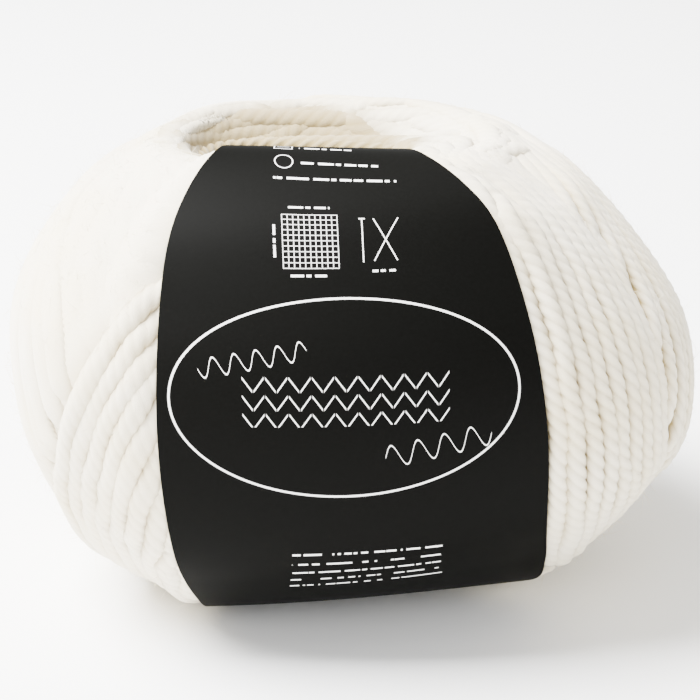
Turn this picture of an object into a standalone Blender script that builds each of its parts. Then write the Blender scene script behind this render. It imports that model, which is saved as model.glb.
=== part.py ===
"""Ball of thick plied yarn wound round an open centre, held by a paper band.

The band runs through the centre hole and round the front of the ball.
Metres, +Z up, front towards -Y, origin under the middle of the ball at its foot.
"""

import math

import bmesh
import bpy
from mathutils import Matrix, Vector
from mathutils.bvhtree import BVHTree

# Wound ball
BALL_HEIGHT = 0.0835
BALL_RADIUS = 0.0612
SKEW_SHARE = 0.041        # one diagonal of the plan is longer than the other
FLAT_FRONT_SHARE = 0.095  # the band flattens the front and the sides swell
ROUND_BACK_SHARE = 0.30   # how much of both reaches the back
BORE_CENTRE = (-0.0065, -0.003)
BORE_HALF = (0.018, 0.0100)
BORE_SQUARENESS = 0.75    # under 1 the oval hole is flatter along its sides
WAIST_DROP = 0.0030       # the widest level lies lower on the right than on the left

# Turns of yarn, gathered in twists
COLUMNS = 96
COLUMNS_PER_TWIST = 4
TWIST_DEPTH = 0.0016
TANGENT_SHARE = 0.37      # the turns pass the centre at this share of the radius
MOST_LEAN = 67.5          # degrees

# Paper band
PAPER = 0.001
PAPER_GAP = 0.0003
SLACK = 0.0004            # room for the facets of both pieces
BAND_YAW = 5.0            # degrees, its left edge stands nearer the front
BAND_ROLL = 4.5           # degrees, its right end stands higher
BAND_PIVOT = (-0.0018, -0.050, 0.052)
EDGE_ROOM = 0.14          # share of the half width that the yarn stays pressed beside the band
EDGE_FADE = 0.25          # and over which it then swells again
PRESS_STEP = 0.0003
PRESS_ROUNDS = 30
TUBE_MIDDLE = (-0.032, 0.042)  # depth and height that the band presses the yarn towards
BAND_STRIPS = 6
BAND_BOW = 0.0030         # how far the side edges fall back at the front

# Name, share of the outer radius, share of the height, share added towards the right, rings
PROFILE = (
    ("bore middle", 0.00, 0.500, 0.00, 1),
    ("bore upper", 0.00, 0.800, 0.00, 2),
    ("hollow", 0.07, 0.930, 0.00, 2),
    ("rim", 0.26, 1.000, 0.00, 3),
    ("dome", 0.50, 0.946, -0.02, 3),
    ("shoulder", 0.710, 0.862, -0.045, 4),
    ("upper side", 0.97, 0.650, -0.02, 3),
    ("widest", 1.00, 0.430, 0.00, 3),
    ("lower side", 0.905, 0.285, -0.015, 3),
    ("lower shoulder", 0.715, 0.127, -0.015, 4),
    ("foot rim", 0.45, 0.015, 0.00, 3),
    ("foot", 0.34, 0.000, 0.00, 3),
    ("under hollow", 0.10, 0.060, 0.00, 3),
    ("bore lower", 0.00, 0.220, 0.00, 1),
)

# Name, depth, height, half width, slant, spans; the slant carries the left half back and up
LOOP = (
    ("front middle", -0.0570, 0.0400, 0.0324, 0.00, 3),
    ("front upper", -0.0545, 0.0570, 0.0312, 0.00, 4),
    ("shoulder", -0.0440, 0.0730, 0.0278, 0.04, 3),
    ("dome", -0.0340, 0.0805, 0.0229, 0.12, 3),
    ("rim", -0.0225, 0.0840, 0.0166, 0.19, 4),
    ("hollow", -0.0130, 0.0790, 0.0135, 0.12, 3),
    ("bore upper", -0.0108, 0.0660, 0.0115, 0.00, 2),
    ("bore lower", -0.0108, 0.0240, 0.0115, 0.00, 3),
    ("under hollow", -0.0140, 0.0090, 0.0140, 0.10, 3),
    ("underside", -0.0230, 0.0038, 0.0205, 0.12, 3),
    ("foot", -0.0330, 0.0044, 0.0265, 0.04, 3),
    ("lower shoulder", -0.0440, 0.0115, 0.0290, 0.00, 3),
    ("front lower", -0.0535, 0.0230, 0.0316, 0.00, 4),
)

WOOL = ("wool_yarn", (0.90, 0.87, 0.79, 1.0), 0.92)
PAPER_STOCK = ("band_paper", (0.018, 0.017, 0.015, 1.0), 0.42)


def clear_scene():
    """Remove whatever the file starts with."""
    for item in list(bpy.data.objects):
        bpy.data.objects.remove(item, do_unlink=True)


def closed_curve(rows, counts):
    """Points along a closed smooth curve through the rows, counts[i] steps after row i."""
    points = []
    total = len(rows)
    for index, steps in enumerate(counts):
        a, b, c, d = (rows[(index + shift) % total] for shift in (-1, 0, 1, 2))
        for step in range(steps):
            t = step / steps
            points.append(tuple(
                0.5 * (2 * q + (r - p) * t + (2 * p - 5 * q + 4 * r - s) * t * t
                       + (3 * q - p - 3 * r + s) * t ** 3)
                for p, q, r, s in zip(a, b, c, d)
            ))
    return points


def lean_of(share):
    """Degrees by which a turn has swung from its course at the widest level."""
    share = min(max(share, 1e-4), 0.9999)
    slope = share / math.sqrt(1 - share * share)
    tangent = TANGENT_SHARE / math.sqrt(1 - TANGENT_SHARE ** 2)
    return min(math.degrees(math.asin(min(1.0, tangent / slope))), MOST_LEAN)


def plan_radius(angle):
    """Outer radius of the ball in the direction of the angle, radians from +X."""
    frontness = ROUND_BACK_SHARE + (1 - ROUND_BACK_SHARE) * (1 - math.sin(angle)) / 2
    change = SKEW_SHARE * math.sin(2 * angle) - FLAT_FRONT_SHARE * math.sin(3 * angle)
    return BALL_RADIUS * (1 + frontness * change)


def twist_height(column, share):
    """How far a column of the mesh stands out, as one of the twists of gathered turns."""
    phase = (column % COLUMNS_PER_TWIST) / COLUMNS_PER_TWIST
    strength = min(1.0, max(0.0, (share - 0.15) / 0.35))
    return TWIST_DEPTH * strength * (math.sin(math.pi * phase) - 0.6)


def ball_point(share, height, extra, column):
    """One vertex of the ball, before the band presses it in."""
    share = min(max(share, 0.0), 1.02)
    side = 1 if height >= 0.45 else -1
    angle = math.tau * column / COLUMNS + side * math.radians(lean_of(share))
    cos, sin = math.cos(angle), math.sin(angle)
    reach = share + extra * cos
    radius = plan_radius(angle) + twist_height(column, share)
    bore_x = BORE_CENTRE[0] + BORE_HALF[0] * math.copysign(abs(cos) ** BORE_SQUARENESS, cos)
    bore_y = BORE_CENTRE[1] + BORE_HALF[1] * math.copysign(abs(sin) ** BORE_SQUARENESS, sin)
    x = (1 - reach) * bore_x + reach * radius * cos
    y = (1 - reach) * bore_y + reach * radius * sin
    level = BALL_HEIGHT * height
    level -= WAIST_DROP * 4 * height * (1 - height) * cos * reach
    return Vector((x, y, max(level, 0.0)))


def band_frame():
    """Matrix from the band's own axes (across, depth, height) to the world."""
    pivot = Vector(BAND_PIVOT)
    turn = Matrix.Rotation(math.radians(BAND_YAW), 4, "Z") @ Matrix.Rotation(math.radians(-BAND_ROLL), 4, "Y")
    return Matrix.Translation(pivot) @ turn @ Matrix.Translation((0.0, -pivot.y, -pivot.z))


def band_loop():
    """Stations along the band: depth, height, half width and slant."""
    rows = [row[1:5] for row in LOOP]
    return closed_curve(rows, [row[5] for row in LOOP])


def loop_normals(stations):
    """Outward unit vectors (depth, height) at the stations of the loop."""
    normals = []
    for index, _ in enumerate(stations):
        before, after = stations[index - 1], stations[(index + 1) % len(stations)]
        along = Vector((after[0] - before[0], after[1] - before[1])).normalized()
        normals.append(Vector((-along.y, along.x)))
    return normals


def shift_at(across, station):
    """How far the band's surface lies back and up from its middle line, at a place across it."""
    depth, _, half, slant = station
    across = min(max(across, -half), half)
    front = min(1.0, max(0.0, (-depth - 0.025) / 0.025))
    bow = BAND_BOW * front * (across / half) ** 2
    return Vector((bow - slant * across, -0.4 * slant * across))


def nearest_on_loop(point, outline):
    """Closest point of the outline, whether the point lies outside it, and the segment's index."""
    best = None
    inside = False
    for index, first in enumerate(outline):
        second = outline[(index + 1) % len(outline)]
        edge = second - first
        t = min(1.0, max(0.0, (point - first).dot(edge) / edge.length_squared))
        spot = first + edge * t
        gap = (point - spot).length
        if best is None or gap < best[0]:
            best = (gap, spot, index)
        if (first.y > point.y) != (second.y > point.y):
            if point.x < first.x + (point.y - first.y) / edge.y * edge.x:
                inside = not inside
    return best[1], not inside, best[2]


def pressed(point, frame, inverse, outline, stations):
    """The vertex after the band has pressed the yarn under it inwards."""
    local = inverse @ point
    flat = Vector((local.y, local.z))
    _, _, index = nearest_on_loop(flat, outline)
    shift = shift_at(local.x, stations[index])
    spot, outside, index = nearest_on_loop(flat - shift, outline)
    half = stations[index][2]
    beyond = (abs(local.x) - half * (1 + EDGE_ROOM)) / (EDGE_FADE * half)
    if beyond > 1 or not outside:
        return point
    strength = 0.5 + 0.5 * math.cos(math.pi * max(beyond, 0.0))
    target = Vector((local.x, *(spot + shift)))
    return frame @ local.lerp(target, strength)


def clear_of_band(points, faces):
    """Press in, step by step, each face that still comes within the gap of the band."""
    shell = BVHTree.FromPolygons(*band_shell(PAPER + 2 * PAPER_GAP))
    for _ in range(PRESS_ROUNDS):
        touching = {pair[0] for pair in BVHTree.FromPolygons(points, faces).overlap(shell)}
        if not touching:
            return
        for index in {corner for face in touching for corner in faces[face]}:
            inward = Vector((points[index].x, *TUBE_MIDDLE)) - points[index]
            points[index] += inward.normalized() * PRESS_STEP


def make_ball():
    """The wound ball as one closed body, its hole running from top to bottom."""
    rows = closed_curve([row[1:4] for row in PROFILE], [row[4] for row in PROFILE])
    frame = band_frame()
    inverse = frame.inverted()
    stations = band_loop()
    inset = PAPER / 2 + PAPER_GAP + SLACK
    outline = [
        Vector(station[:2]) - normal * inset
        for station, normal in zip(stations, loop_normals(stations))
    ]
    points = []
    for share, height, extra in rows:
        for column in range(COLUMNS):
            point = ball_point(share, height, extra, column)
            if point.y < BORE_CENTRE[1]:
                point = pressed(point, frame, inverse, outline, stations)
            points.append(Vector((point.x, point.y, max(point.z, 0.0))))
    faces = []
    shift = round(2 * MOST_LEAN / (360 / COLUMNS))
    for ring in range(len(rows)):
        last = ring == len(rows) - 1
        low = ring * COLUMNS
        high = 0 if last else low + COLUMNS
        back = shift if last else 0
        for column in range(COLUMNS):
            after = (column + 1) % COLUMNS
            a = (column - back) % COLUMNS
            b = (after - back) % COLUMNS
            faces.append((low + column, low + after, high + b, high + a))
    clear_of_band(points, faces)
    return finish_body(points, faces, "wound_ball", WOOL)


def band_shell(thickness):
    """Vertices and faces of the band as a closed strip of the given thickness."""
    stations = band_loop()
    frame = band_frame()
    points = []
    for station, normal in zip(stations, loop_normals(stations)):
        for side in (1, -1):
            lanes = range(BAND_STRIPS + 1) if side == 1 else range(BAND_STRIPS, -1, -1)
            for lane in lanes:
                across = station[2] * (2 * lane / BAND_STRIPS - 1)
                flat = Vector(station[:2]) + shift_at(across, station) + normal * (side * thickness / 2)
                points.append(frame @ Vector((across, *flat)))
    faces = []
    around = 2 * (BAND_STRIPS + 1)
    for section in range(len(stations)):
        low = section * around
        high = (section + 1) % len(stations) * around
        for lane in range(around):
            after = (lane + 1) % around
            faces.append((low + lane, low + after, high + after, high + lane))
    return points, faces


def finish_body(points, faces, name, stock):
    """A named, smooth-shaded object with its own material and its faces outward."""
    data = bpy.data.meshes.new(name)
    data.from_pydata(points, [], faces)
    mesh = bmesh.new()
    mesh.from_mesh(data)
    bmesh.ops.recalc_face_normals(mesh, faces=mesh.faces)
    mesh.to_mesh(data)
    mesh.free()
    for face in data.polygons:
        face.use_smooth = True
    label, colour, roughness = stock
    material = bpy.data.materials.new(label)
    material.use_nodes = True
    shader = material.node_tree.nodes["Principled BSDF"]
    shader.inputs["Base Color"].default_value = colour
    shader.inputs["Roughness"].default_value = roughness
    shader.inputs["Metallic"].default_value = 0.0
    data.materials.append(material)
    body = bpy.data.objects.new(name, data)
    bpy.context.scene.collection.objects.link(body)
    return body


def stand_on_origin(bodies):
    """Move the bodies together so that the origin lies under the middle of their bounds."""
    corners = [vertex.co for body in bodies for vertex in body.data.vertices]
    low = Vector(min(corner[axis] for corner in corners) for axis in range(3))
    high = Vector(max(corner[axis] for corner in corners) for axis in range(3))
    shift = Vector((-(low.x + high.x) / 2, -(low.y + high.y) / 2, -low.z))
    for body in bodies:
        body.data.transform(Matrix.Translation(shift))


def main():
    """Build the ball and its band."""
    clear_scene()
    ball = make_ball()
    band = finish_body(*band_shell(PAPER), "paper_band", PAPER_STOCK)
    stand_on_origin((ball, band))


main()
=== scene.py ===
"""A centre-pull ball of thick plied wool with its die-cut paper band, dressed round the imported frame."""

import logging
import math
from dataclasses import dataclass, field
from enum import Enum
from functools import partial
from typing import Callable, Optional, Union

import bpy
import numpy as np
from mathutils import Matrix, Vector
from mathutils.bvhtree import BVHTree
from mathutils.kdtree import KDTree


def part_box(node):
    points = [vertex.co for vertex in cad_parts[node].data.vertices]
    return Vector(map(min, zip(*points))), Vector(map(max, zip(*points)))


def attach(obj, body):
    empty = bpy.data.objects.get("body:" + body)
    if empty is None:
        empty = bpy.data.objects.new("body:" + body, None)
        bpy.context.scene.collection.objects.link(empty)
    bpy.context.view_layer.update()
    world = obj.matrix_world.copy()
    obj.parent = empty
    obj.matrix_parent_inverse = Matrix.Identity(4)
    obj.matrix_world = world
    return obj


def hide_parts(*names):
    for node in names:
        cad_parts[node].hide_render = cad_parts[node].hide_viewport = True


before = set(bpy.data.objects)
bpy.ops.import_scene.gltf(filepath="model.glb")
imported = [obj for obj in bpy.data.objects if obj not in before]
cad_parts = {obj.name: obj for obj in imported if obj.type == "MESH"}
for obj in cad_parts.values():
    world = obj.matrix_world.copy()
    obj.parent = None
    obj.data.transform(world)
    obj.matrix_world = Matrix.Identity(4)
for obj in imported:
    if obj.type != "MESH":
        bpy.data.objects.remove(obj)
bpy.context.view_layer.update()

LOG = logging.getLogger("yarn_ball")
MM = 0.001
Array = np.ndarray
Node = bpy.types.Node
Source = Union[bpy.types.Node, bpy.types.NodeSocket]
Material = bpy.types.Material
Piece = bpy.types.Object
Pair = tuple[float, float]
Triple = tuple[float, float, float]
Colour = tuple[float, float, float, float]


class Twist(Enum):
    """The hand in which a yarn's plies are twisted, as the turn of a ply per step forward."""

    S = -1.0
    Z = 1.0


def linear(code: str) -> Colour:
    """Turn a colour's sRGB hex value into linear red, green, blue and alpha.

    Args:
        code: Six hex digits, such as "F4EFE6".

    Returns:
        The linear colour with an alpha of 1.
    """
    parts = [int(code[i:i + 2], 16) / 255 for i in (0, 2, 4)]
    red, green, blue = (c / 12.92 if c <= 0.04045 else ((c + 0.055) / 1.055) ** 2.4 for c in parts)
    return red, green, blue, 1.0


def feed(node: Node, links: dict) -> None:
    """Link sources to a node's inputs.

    Args:
        node: The node that is fed.
        links: What feeds each input, by index or name: a socket, or a node for its first output.
    """
    for key, source in links.items():
        socket = source.outputs[0] if isinstance(source, Node) else source
        node.id_data.links.new(socket, node.inputs[key])


def add_node(tree: bpy.types.NodeTree, kind: str, settings: Optional[dict] = None,
             links: Optional[dict] = None) -> Node:
    """Add a shader node with its settings and its incoming links.

    Args:
        tree: The node tree that gets the node.
        kind: The node's type, such as "Math".
        settings: Attributes of the node by name, and values of its inputs by index or name.
        links: The sources that feed its inputs, by index or name.

    Returns:
        The new node.
    """
    node = tree.nodes.new("ShaderNode" + kind)
    for key, value in (settings or {}).items():
        if isinstance(key, str) and hasattr(node, key):
            setattr(node, key, value)
        else:
            node.inputs[key].default_value = value
    feed(node, links or {})
    return node


def start_material(name: str, settings: dict) -> tuple[Material, Node, Callable]:
    """Start a material from the standard surface shader.

    Args:
        name: The material's name.
        settings: Values of the shader's own sockets, by name.

    Returns:
        The material, its shader, and add_node for its tree.
    """
    made = bpy.data.materials.new(name)
    made.use_nodes = True
    shader = made.node_tree.nodes["Principled BSDF"]
    for key, value in settings.items():
        shader.inputs[key].default_value = value
    return made, shader, partial(add_node, made.node_tree)


def smooth_loop(rows: Array, steps: int) -> Array:
    """Follow a closed smooth curve through the rows.

    Args:
        rows: One row of coordinates for each point that the curve passes through.
        steps: Points made for each row.

    Returns:
        The curve's points, starting at the first row.
    """
    before, after, later = np.roll(rows, 1, 0), np.roll(rows, -1, 0), np.roll(rows, -2, 0)
    t = (np.arange(steps) / steps)[None, :, None]
    p, q, r, s = (side[:, None, :] for side in (before, rows, after, later))
    curve = 0.5 * (2 * q + (r - p) * t + (2 * p - 5 * q + 4 * r - s) * t ** 2
                   + (3 * q - p - 3 * r + s) * t ** 3)
    return curve.reshape(-1, rows.shape[1])


def ease(value: Array) -> Array:
    """Rise smoothly from 0 to 1 as the value does."""
    clipped = np.clip(value, 0.0, 1.0)
    return clipped * clipped * (3 - 2 * clipped)


def unit(rows: Array) -> Array:
    """Scale each row to length 1."""
    return rows / np.maximum(np.linalg.norm(rows, axis=-1, keepdims=True), 1e-12)


def drift(rng: np.random.Generator, along: Array, wave: float, terms: int = 4) -> Array:
    """Make a smooth random drift between about -1 and 1.

    Args:
        rng: The seeded generator.
        along: Distance along the run at each point.
        wave: The longest wave of the drift, in the same unit.
        terms: How many shorter waves are added.

    Returns:
        The drift at each point.
    """
    total = np.zeros_like(along)
    for term in range(1, terms + 1):
        size = 0.9 / term ** 0.7
        total += size * np.sin(math.tau * along * term * rng.uniform(0.8, 1.2) / wave
                               + rng.uniform(0, math.tau))
    return total / 1.4


def grid_quads(first: Array, second: Array, around: bool = False) -> Array:
    """Join two rows of corners, or two stacks of rows, by four-sided faces.

    Args:
        first: Corner indices along the last axis.
        second: The corners next to them.
        around: Whether each row closes on itself.

    Returns:
        Corner indices of each face, as (faces, 4).
    """
    if around:
        parts = (first, second, np.roll(second, -1, -1), np.roll(first, -1, -1))
    else:
        parts = (first[..., :-1], first[..., 1:], second[..., 1:], second[..., :-1])
    return np.stack(parts, axis=-1).reshape(-1, 4)


def mesh_piece(name: str, points: Array, quads: Array, triangles: Array, charts: Array,
               material: Material, painted_shade: Optional[Array] = None) -> Piece:
    """Make a smooth-shaded object from arrays.

    Args:
        name: The piece's name.
        points: Its vertices, in metres.
        quads: Corner indices of its four-sided faces.
        triangles: Corner indices of its three-sided faces.
        charts: UV of every corner, quads first.
        material: Its finish.
        painted_shade: For each vertex, the painted shade in the creases between turns, in the hole and in the
            grooves between plies, 0 to 1.

    Returns:
        The object, linked to the scene.
    """
    data = bpy.data.meshes.new(name)
    corners = np.concatenate([quads.ravel(), triangles.ravel()]).astype(np.int32)
    starts = np.concatenate([np.arange(len(quads)) * 4,
                             len(quads) * 4 + np.arange(len(triangles)) * 3]).astype(np.int32)
    data.vertices.add(len(points))
    data.vertices.foreach_set("co", points.astype(np.float32).ravel())
    data.loops.add(len(corners))
    data.loops.foreach_set("vertex_index", corners)
    data.polygons.add(len(starts))
    data.polygons.foreach_set("loop_start", starts)
    data.update(calc_edges=True)
    layer = data.uv_layers.new(name="UVMap")
    layer.data.foreach_set("uv", charts.astype(np.float32).ravel())
    # painted shade: a second UV map holds how much crease colour each corner gets
    if painted_shade is not None:
        depth = data.uv_layers.new(name="Lie")
        depth.data.foreach_set("uv", painted_shade[corners].astype(np.float32).ravel())
        layer.active = True
    data.polygons.foreach_set("use_smooth", np.ones(len(starts), dtype=bool))
    data.materials.append(material)
    piece = bpy.data.objects.new(name, data)
    bpy.context.scene.collection.objects.link(piece)
    return piece


# ---------------------------------------------------------------- finishes


@dataclass(frozen=True)
class WoolFinish:
    """Soft wool and acrylic yarn, spun and plied: matt, creamy white, streaked by its fibres."""

    # light sinks in and comes back soft, so there is no gloss; the creases between turns, the grooves between
    # plies and the hole get painted shade, warm instead of grey
    name: str = "plied_wool"
    light: str = "E8DFCA"
    warm: str = "E2D5B4"
    # painted shade: the colour mixed in where the creases between turns, the grooves between plies and the
    # hole are shaded
    painted_shade_colour: str = "80691E"
    roughness: float = 0.95
    gloss: float = 0.25
    sheen: float = 0.25
    sheen_roughness: float = 0.6
    fibre_mm: float = 0.28
    streak_mm: float = 1.6
    bump_mm: float = 0.16
    cloud_mm: float = 18.0
    crease_shade_from: float = 0.05
    crease_shade_full: float = 0.46
    crease_shade_share: float = 0.76
    ply_shade_share: float = 0.30
    most_painted_shade: float = 0.9

    def material(self) -> Material:
        """Build the material; its streaks follow each ply by the UV map, and painted shade darkens the
        creases, ply grooves and hole by a second UV map.

        Returns:
            The material.
        """
        made, shader, add = start_material(self.name, {
            "Roughness": self.roughness, "Specular IOR Level": self.gloss,
            "Sheen Weight": self.sheen, "Sheen Roughness": self.sheen_roughness})
        chart = add("UVMap", {"uv_map": "UVMap"})
        place = add("TexCoord")
        along = add("Mapping", {"Scale": (10 / self.streak_mm, 12 / self.fibre_mm, 1.0)}, {"Vector": chart})
        streaks = add("TexNoise", {"Scale": 1.0, "Detail": 3.0, "Roughness": 0.6}, {"Vector": along})
        fluff = add("TexNoise", {"Scale": 1 / (2.2 * self.fibre_mm * MM), "Detail": 3.0, "Roughness": 0.65},
                    {"Vector": place.outputs["Object"]})
        height = add("Mix", {"data_type": "FLOAT", 0: 0.45}, {2: streaks, 3: fluff})
        bump = add("Bump", {"Strength": 0.8, "Distance": self.bump_mm * MM}, {"Height": height})
        cloud = add("TexNoise", {"Scale": 1 / (self.cloud_mm * MM), "Detail": 2.0},
                    {"Vector": place.outputs["Object"]})
        ramp = add("MapRange", {1: 0.35, 2: 0.75}, {0: cloud})
        tint = add("Mix", {"data_type": "RGBA", 6: linear(self.light), 7: linear(self.warm)}, {0: ramp})
        # painted shade: the second UV map darkens the creases between turns and the hole by its first
        # channel, and the ply grooves by its second
        painted_shade = add("UVMap", {"uv_map": "Lie"})
        deep = add("SeparateXYZ", None, {0: painted_shade})
        between = add("MapRange", {1: self.crease_shade_from, 2: self.crease_shade_full, 4: self.crease_shade_share}, {0: deep})
        plies = add("Math", {"operation": "MULTIPLY_ADD", 1: self.ply_shade_share},
                    {0: deep.outputs[1], 2: between})
        most = add("Math", {"operation": "MINIMUM", 1: self.most_painted_shade}, {0: plies})
        shaded = add("Mix", {"data_type": "RGBA", 7: linear(self.painted_shade_colour)}, {0: most, 6: tint.outputs[2]})
        feed(shader, {"Base Color": shaded.outputs[2], "Normal": bump})
        return made


@dataclass(frozen=True)
class PlainFinish:
    """A plain matt stock, faintly mottled, such as uncoated paper or a studio floor."""

    # pulp or paint with nothing on it: flat and even, with a grain seen only from near
    name: str
    light: str
    dark: str
    roughness: float = 0.8
    grain_mm: float = 0.6

    def material(self) -> Material:
        """Build the material from two close shades and a fine grain.

        Returns:
            The material.
        """
        made, shader, add = start_material(self.name, {"Roughness": self.roughness})
        place = add("TexCoord")
        grain = add("TexNoise", {"Scale": 1 / (self.grain_mm * MM), "Detail": 2.0},
                    {"Vector": place.outputs["Object"]})
        tint = add("Mix", {"data_type": "RGBA", 6: linear(self.light), 7: linear(self.dark)}, {0: grain})
        feed(shader, {"Base Color": tint.outputs[2]})
        return made


@dataclass
class LinePrint:
    """Fine line print, laid out in millimetres round the middle of its oval frame."""

    add: Callable
    place: Source
    nearest: Optional[Source] = None

    def keep(self, distance: Source) -> None:
        """Add a shape, given by its distance in millimetres, negative inside.

        Args:
            distance: What gives the distance.
        """
        if self.nearest is None:
            self.nearest = distance
            return
        self.nearest = self.add("Math", {"operation": "MINIMUM"}, {0: self.nearest, 1: distance})

    def local(self, middle: Pair, degrees: float = 0.0,
              size: Pair = (1.0, 1.0)) -> Source:
        """Return the place in a shape's own axes, measured in its own size.

        Args:
            middle: The shape's middle, in millimetres.
            degrees: How far its axes are turned.
            size: The unit of each of its axes.

        Returns:
            What gives the place.
        """
        return self.add("Mapping", {"vector_type": "TEXTURE", "Location": (*middle, 0.0),
                        "Rotation": (0.0, 0.0, math.radians(degrees)), "Scale": (*size, 1.0)},
                        {"Vector": self.place})

    def slab(self, own: Source, half: Pair) -> Source:
        """Return the distance from a rectangle of that half size in the given axes.

        Args:
            own: What gives the place in those axes.
            half: Half its width and half its height.

        Returns:
            What gives the distance.
        """
        folded = self.add("VectorMath", {"operation": "ABSOLUTE"}, {0: own})
        beyond = self.add("VectorMath", {"operation": "SUBTRACT", 1: (*half, 9.0)}, {0: folded})
        parts = self.add("SeparateXYZ", None, {0: beyond})
        return self.add("Math", {"operation": "MAXIMUM"}, {0: parts, 1: parts.outputs[1]})

    def outline(self, distance: Source, stroke: float) -> Source:
        """Return the distance from a line along a shape's edge."""
        away = self.add("Math", {"operation": "ABSOLUTE"}, {0: distance})
        return self.add("Math", {"operation": "SUBTRACT", 1: stroke / 2}, {0: away})

    def oval(self, middle: Pair, half: Pair, stroke: float) -> None:
        """Draw an oval line.

        Args:
            middle: Its middle, in millimetres.
            half: Half its width and half its height.
            stroke: The line's width.
        """
        own = self.local(middle, 0.0, half)
        length = self.add("VectorMath", {"operation": "LENGTH"}, {0: own})
        slope = self.add("VectorMath",
                         {"operation": "MULTIPLY", 1: (1 / half[0], 1 / half[1], 0.0)}, {0: own})
        steep = self.add("VectorMath", {"operation": "LENGTH"}, {0: slope})
        beyond = self.add("Math", {"operation": "SUBTRACT", 1: 1.0}, {0: length.outputs["Value"]})
        scaled = self.add("Math", {"operation": "MULTIPLY"}, {0: beyond, 1: length.outputs["Value"]})
        distance = self.add("Math", {"operation": "DIVIDE"}, {0: scaled, 1: steep.outputs["Value"]})
        self.keep(self.outline(distance, stroke))

    def frame(self, middle: Pair, half: Pair, stroke: float) -> None:
        """Draw a rectangle's outline."""
        self.keep(self.outline(self.slab(self.local(middle), half), stroke))

    def line(self, first: Pair, last: Pair, stroke: float) -> None:
        """Draw a straight line.

        Args:
            first: Where it begins.
            last: Where it ends.
            stroke: The line's width.
        """
        way = (last[0] - first[0], last[1] - first[1])
        middle = ((first[0] + last[0]) / 2, (first[1] + last[1]) / 2)
        own = self.local(middle, math.degrees(math.atan2(way[1], way[0])))
        self.keep(self.slab(own, (math.hypot(*way) / 2, stroke / 2)))

    def both(self, first: Source, second: Source) -> Source:
        """Return the distance from what two shapes share."""
        return self.add("Math", {"operation": "MAXIMUM"}, {0: first, 1: second})

    def folded(self, value: Source, period: float, stroke: float) -> Source:
        """Return the distance from lines that repeat with the period."""
        fold = self.add("Math", {"operation": "PINGPONG", 1: period / 2}, {0: value})
        return self.add("Math", {"operation": "SUBTRACT", 1: stroke / 2}, {0: fold})

    def grid(self, middle: Pair, half: Pair, cells: int, stroke: float) -> None:
        """Draw a gauge square with its cells.

        Args:
            middle: Its middle, in millimetres.
            half: Half its width and half its height.
            cells: Cells along each side.
            stroke: The line's width.
        """
        own = self.local((middle[0] - half[0], middle[1] - half[1]))
        parts = self.add("SeparateXYZ", None, {0: own})
        across = self.folded(parts, 2 * half[0] / cells, stroke)
        upward = self.folded(parts.outputs[1], 2 * half[1] / cells, stroke)
        lines = self.add("Math", {"operation": "MINIMUM"}, {0: across, 1: upward})
        area = self.slab(self.local(middle), (half[0] + stroke / 2, half[1] + stroke / 2))
        self.keep(self.both(lines, area))

    def dashes(self, middle: Pair, half: Pair, rows: int,
               thick: float, degrees: float = 0.0) -> None:
        """Fill a block with rows of plain dashes where small print would stand.

        Args:
            middle: The block's middle, in millimetres.
            half: Half its width and half its height.
            rows: Rows of dashes.
            thick: How thick a dash is.
            degrees: How far the block is turned.
        """
        own = self.local(middle, degrees)
        area = self.slab(own, half)
        period = 2 * half[1] / rows
        lift = self.add("VectorMath", {"operation": "ADD", 1: (0.0, period * (rows % 2) / 2, 0.0)}, {0: own})
        parts = self.add("SeparateXYZ", None, {0: lift})
        centred = self.add("Math", {"operation": "ADD", 1: period / 2}, {0: parts.outputs[1]})
        bars = self.folded(centred, period, thick)
        step = self.add("Math", {"operation": "SNAP", 1: period}, {0: parts.outputs[1]})
        spot = self.add("CombineXYZ", None, {0: parts, 1: step})
        words = self.add("TexNoise", {"noise_dimensions": "2D", "Scale": 0.9, "Detail": 0.0},
                         {"Vector": spot})
        gaps = self.add("Math", {"operation": "MULTIPLY_ADD", 1: -6.0, 2: 2.5}, {0: words})
        self.keep(self.both(self.both(area, bars), gaps))

    def stitches(self, middle: Pair, half: Pair, columns: int,
                 rows: int, stroke: float) -> None:
        """Draw rows of knitted stitches, each a pair of slanted strokes.

        Args:
            middle: Its middle, in millimetres.
            half: Half its width and half its height.
            columns: Stitches in a row.
            rows: Rows of stitches.
            stroke: The line's width.
        """
        own = self.local((middle[0], middle[1] - half[1]))
        area = self.slab(self.local(middle), (half[0], half[1] - 0.35))
        wide, tall = 2 * half[0] / columns, 2 * half[1] / rows
        parts = self.add("SeparateXYZ", None, {0: own})
        fold = self.add("Math", {"operation": "PINGPONG", 1: wide / 2}, {0: parts})
        slant = self.add("Math", {"operation": "MULTIPLY_ADD", 1: -1.35}, {0: fold, 2: parts.outputs[1]})
        legs = self.folded(slant, tall, stroke)
        inset = self.add("Math", {"operation": "SUBTRACT", 1: wide / 4}, {0: fold})
        leg = self.add("Math", {"operation": "ABSOLUTE"}, {0: inset})
        ends = self.add("Math", {"operation": "SUBTRACT", 1: wide / 4 - 0.14}, {0: leg})
        self.keep(self.both(self.both(area, legs), ends))

    def wave(self, middle: Pair, degrees: float, half: Pair,
             period: float, stroke: float) -> None:
        """Draw a loose thread that runs in waves.

        Args:
            middle: Its middle, in millimetres.
            degrees: Which way it runs.
            half: Half its length and the height of a wave.
            period: From one wave to the next.
            stroke: The line's width.
        """
        own = self.local(middle, degrees)
        area = self.slab(own, (half[0], half[1] + stroke))
        parts = self.add("SeparateXYZ", None, {0: own})
        phase = self.add("Math", {"operation": "MULTIPLY", 1: math.tau / period}, {0: parts})
        swing = self.add("Math", {"operation": "SINE"}, {0: phase})
        offset = self.add("Math", {"operation": "MULTIPLY_ADD", 1: -half[1]}, {0: swing, 2: parts.outputs[1]})
        away = self.add("Math", {"operation": "ABSOLUTE"}, {0: offset})
        near = self.add("Math", {"operation": "SUBTRACT", 1: stroke}, {0: away})
        self.keep(self.both(area, near))


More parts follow.
